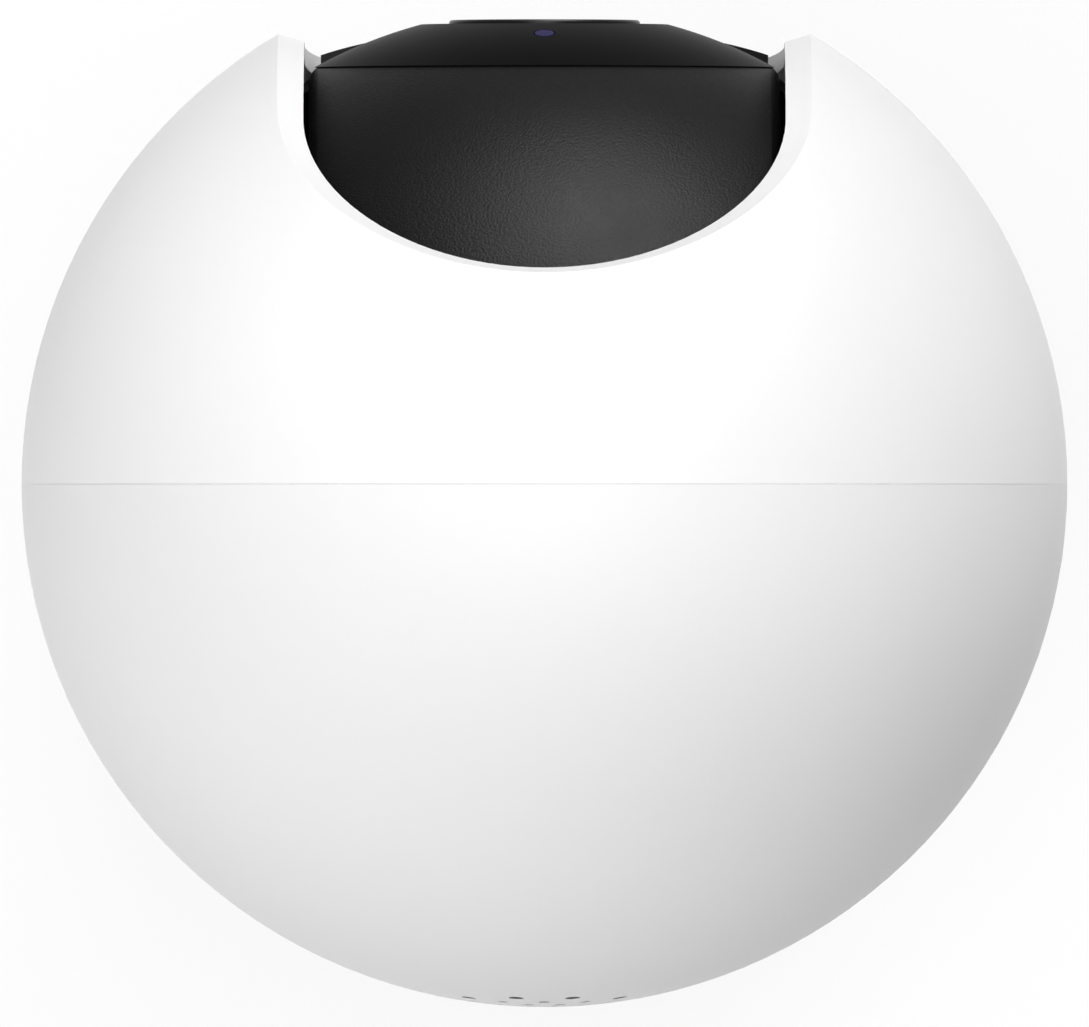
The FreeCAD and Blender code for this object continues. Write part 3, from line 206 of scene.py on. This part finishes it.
def circuit_board(name, colour):
    """Solder mask with copper tracks showing as paler lines, and specks of solder."""
    paint = Paint(name)
    split = paint.add("ShaderNodeTexBrick")
    split.inputs["Scale"].default_value = 420.0
    split.inputs["Mortar Size"].default_value = 0.03
    split.inputs["Mortar Smooth"].default_value = 0.3
    split.inputs["Color1"].default_value = (*scaled(colour, 0.8), 1)
    split.inputs["Color2"].default_value = (*colour, 1)
    split.inputs["Mortar"].default_value = (*scaled(colour, 2.2), 1)
    paint.link(paint.place, split.inputs["Vector"])
    pads = paint.math("LESS_THAN", paint.cells(700.0), 0.17)
    solder = (0.62, 0.6, 0.55)
    tinted = paint.blend(pads, split.outputs["Color"], solder)
    return paint.finish(tinted, paint.spread(paint.noise(900.0), 0.25, 0.45),
                        paint.bump(split.outputs["Fac"], 0.02 * MM, 0.5))


def glass(name, colour, roughness, **values):
    """Coated or smoked glass with a few faint smears."""
    paint = Paint(name)
    smears = paint.noise(300.0, 4.0)
    tinted = paint.tones(smears, scaled(colour, 0.9), scaled(colour, 1.1))
    return paint.finish(tinted, paint.spread(smears, roughness, roughness + 0.05), IOR=1.5, **values)


def fibres(name, colour, roughness, scale):
    """Foam, rubber or pressed paper: an open matt texture, painted darker in its pits as shade."""
    paint = Paint(name)
    pores = paint.cells(scale)
    fine = paint.noise(scale * 3, 4.0, 0.7)
    mixed = paint.weighed(pores, 0.6, fine, 0.4)
    # painted shade: darker where the same value sinks the bump below into pits
    tinted = paint.tones(mixed, scaled(colour, 0.7), scaled(colour, 1.25), 0.15, 0.75)
    return paint.finish(tinted, paint.spread(fine, roughness - 0.06, roughness + 0.06),
                        paint.bump(mixed, 0.03 * MM, 0.6))


def lit_pipe(name, colour, glow):
    """Translucent light pipe, faintly lit from behind."""
    paint = Paint(name)
    haze = paint.noise(5000.0, 2.0)
    tinted = paint.tones(haze, scaled(colour, 0.85), scaled(colour, 1.1))
    paint.link(tinted, paint.shader.inputs["Emission Color"])
    return paint.finish(tinted, paint.spread(haze, 0.2, 0.35), paint.bump(haze, 0.003 * MM),
                        Emission_Strength=glow, Specular_IOR_Level=0.018)


def coil_wire(name, colour):
    """Enamelled wire wound round the coil, painted darker between the turns as shade."""
    paint = Paint(name)
    wind = paint.add("ShaderNodeTexWave", bands_direction="Y")
    wind.inputs["Scale"].default_value = 1600.0
    wind.inputs["Distortion"].default_value = 0.4
    paint.link(paint.place, wind.inputs["Vector"])
    # painted shade: darker in the grooves between the turns, where the bump is low
    tinted = paint.tones(wind.outputs["Fac"], scaled(colour, 0.55), colour, 0.1, 0.8)
    return paint.finish(tinted, paint.spread(wind.outputs["Fac"], 0.45, 0.3),
                        paint.bump(wind.outputs["Fac"], 0.03 * MM), metallic=0.9)


# ---- materials by the record's slots ----------------------------------------------------------
finishes = {
    "white_shell": plastic("white_shell_look", (0.9, 0.9, 0.9), 0.42, tone=0.006, Specular_IOR_Level=0.08),
    # the rear shell, with painted shade on the walls of its speaker holes
    "white_rear": plastic("white_rear_look", (0.875, 0.875, 0.875), 0.42, tone=0.006,
                          hole_wall_shade=(0.12, 0.12, 0.12), Specular_IOR_Level=0.08),
    "white_base": plastic("white_base_look", (0.88, 0.88, 0.88), 0.45, tone=0.008,
                          Specular_IOR_Level=0.3),
    "black_grain": leather_grain("black_grain_look", (0.003, 0.003, 0.0032), 0.42),
    "black_satin": plastic("black_satin_look", (0.003, 0.003, 0.0033), 0.36, 12000.0, 0.002 * MM, 0.08,
                           Specular_IOR_Level=0.008),
    "black_gloss": plastic("black_gloss_look", (0.005, 0.005, 0.006), 0.3, 15000.0, 0.0005 * MM, 0.08,
                           Specular_IOR_Level=0.12),
    "black_liner": plastic("black_liner_look", (0.02, 0.02, 0.021), 0.55, 8000.0, 0.006 * MM, 0.08,
                           Specular_IOR_Level=0.35),
    "dark_glass": glass("dark_glass_look", (0.5, 0.5, 0.54), 0.02, Transmission_Weight=1.0,
                        Specular_IOR_Level=0.2),
    "lens_glass": glass("lens_glass_look", (0.22, 0.16, 0.5), 0.02, Transmission_Weight=0.7),
    "status_violet": lit_pipe("status_violet_look", (0.01, 0.007, 0.06), 0.22),
    "inner_white": plastic("inner_white_look", (0.78, 0.78, 0.75), 0.4, 6000.0, 0.006 * MM, 0.03),
    "inner_grey": plastic("inner_grey_look", (0.3, 0.31, 0.32), 0.5, 5000.0, 0.01 * MM, 0.05),
    "steel": metal("steel_look", (0.58, 0.58, 0.6), 0.3, 0.6),
    "screw_steel": metal("screw_steel_look", (0.5, 0.5, 0.52), 0.28),
    "brass": metal("brass_look", (0.72, 0.56, 0.28), 0.28, 0.4),
    "board_green": circuit_board("board_green_look", (0.02, 0.13, 0.055)),
    "chip_black": plastic("chip_black_look", (0.035, 0.035, 0.035), 0.5, 5000.0, 0.01 * MM, 0.1),
    "rubber": fibres("rubber_look", (0.05, 0.05, 0.052), 0.75, 1800.0),
    "foam": fibres("foam_look", (0.06, 0.06, 0.06), 0.85, 1500.0),
    "cone_paper": fibres("cone_paper_look", (0.045, 0.045, 0.045), 0.8, 2500.0),
    "copper": coil_wire("copper_look", (0.75, 0.36, 0.18)),
    "aerial_film": plastic("aerial_film_look", (0.5, 0.28, 0.06), 0.25, 4000.0, 0.004 * MM, 0.1),
}
for subpart in record["subparts"]:
    for material_slot in nodes[subpart["node"]].material_slots:
        material_slot.material = finishes[subpart["material_slot"]]

# ---- floor and world --------------------------------------------------------------------------
floor_half = 3.0               # from its middle to its edge
floor_whiteness = 0.85         # of the floor where it is seen; the rest is its own shading
sky_light = 0.03               # of the sky as a lamp; where it is seen it is white


def larger(tree, first, second):
    """The larger of a socket and either another socket or a number."""
    node = tree.nodes.new("ShaderNodeMath")
    node.operation = "MAXIMUM"
    tree.links.new(first, node.inputs[0])
    if isinstance(second, float):
        node.inputs[1].default_value = second
    else:
        tree.links.new(second, node.inputs[1])
    return node.outputs["Value"]


def seen(tree):
    """1 where the surface is seen, in a reflection or through glass too, and 0 where it only gives light."""
    path = tree.nodes.new("ShaderNodeLightPath").outputs
    return larger(tree, larger(tree, path["Is Camera Ray"], path["Is Glossy Ray"]), path["Is Transmission Ray"])


def floor_material():
    """Pale and plain, white where it is seen, with enough of its own shading to keep the shadow."""
    paint = Paint("floor_look")
    faint = paint.noise(6.0, 4.0)
    tinted = paint.tones(faint, (0.86, 0.86, 0.86), (0.89, 0.89, 0.89))
    paint.finish(tinted, paint.spread(faint, 0.85, 0.9), Specular_IOR_Level=0.0)
    white = paint.add("ShaderNodeEmission")
    white.inputs["Color"].default_value = (1, 1, 1, 1)
    mix = paint.add("ShaderNodeMixShader")
    paint.link(paint.math("MULTIPLY", seen(paint.tree), floor_whiteness), mix.inputs["Fac"])
    paint.link(paint.shader.outputs["BSDF"], mix.inputs[1])
    paint.link(white.outputs["Emission"], mix.inputs[2])
    output = paint.tree.nodes["Material Output"]
    paint.link(mix.outputs["Shader"], output.inputs["Surface"])
    return paint.material


mesh = bpy.data.meshes.new("floor")
grid = bmesh.new()
bmesh.ops.create_grid(grid, x_segments=8, y_segments=8, size=floor_half)
grid.to_mesh(mesh)
grid.free()
floor = bpy.data.objects.new("floor", mesh)
scene.collection.objects.link(floor)
floor.data.materials.append(floor_material())

world = bpy.data.worlds.new("studio")
scene.world = world
world.use_nodes = True
sky = world.node_tree.nodes["Background"]
sky.inputs["Color"].default_value = (1, 1, 1, 1)
world.node_tree.links.new(larger(world.node_tree, seen(world.node_tree), sky_light), sky.inputs["Strength"])

# ---- lamps ------------------------------------------------------------------------------------
# name, azimuth from the picture's right towards its top, height above the horizon (both in degrees),
# watts, width in metres, whether it lights colours: the last lamp is seen in gloss only, as the
# soft window that the black eye mirrors
LAMPS = [
    ("overhead", 90.0, 90.0, 18.5, 0.9, True),
    ("key", 72.0, 26.0, 13.5, 0.9, True),
    ("fill", 222.0, 42.0, 6.5, 0.9, True),
    ("low_fill", 205.0, 18.0, 2.6, 0.9, True),
    ("gloss", 76.0, 25.0, 175.0, 1.4, False),
]
lamp_distance = 1.6            # from the middle of the ball
for name, azimuth, height, watts, width, lights_colour in LAMPS:
    data = bpy.data.lights.new(name, "AREA")
    data.shape = "DISK"
    data.size = width
    data.energy = watts
    lamp = bpy.data.objects.new(name, data)
    lamp.visible_diffuse = lights_colour
    turn, rise = math.radians(azimuth), math.radians(height)
    towards = Vector((-math.cos(turn) * math.cos(rise), -math.sin(turn) * math.cos(rise), math.sin(rise)))
    lamp.location = centre + towards * lamp_distance
    lamp.rotation_euler = towards.to_track_quat("Z", "Y").to_euler()
    scene.collection.objects.link(lamp)

# ---- camera: straight down from far away, the object's front at the top of the picture --------
camera_height = 3.9            # above the middle of the ball
picture_width = 0.09163        # of the plane through the middle of the ball
picture_shift = 0.002476       # the picture's middle behind the ball's middle
data = bpy.data.cameras.new("camera")
data.lens = data.sensor_width * camera_height / picture_width
data.clip_start = 0.5
data.clip_end = 20.0
camera = bpy.data.objects.new("camera", data)
camera.location = (0, picture_shift, centre.z + camera_height)
camera.rotation_euler = (0, 0, math.pi)
scene.collection.objects.link(camera)
scene.camera = camera
scene.view_settings.view_transform = "Standard"
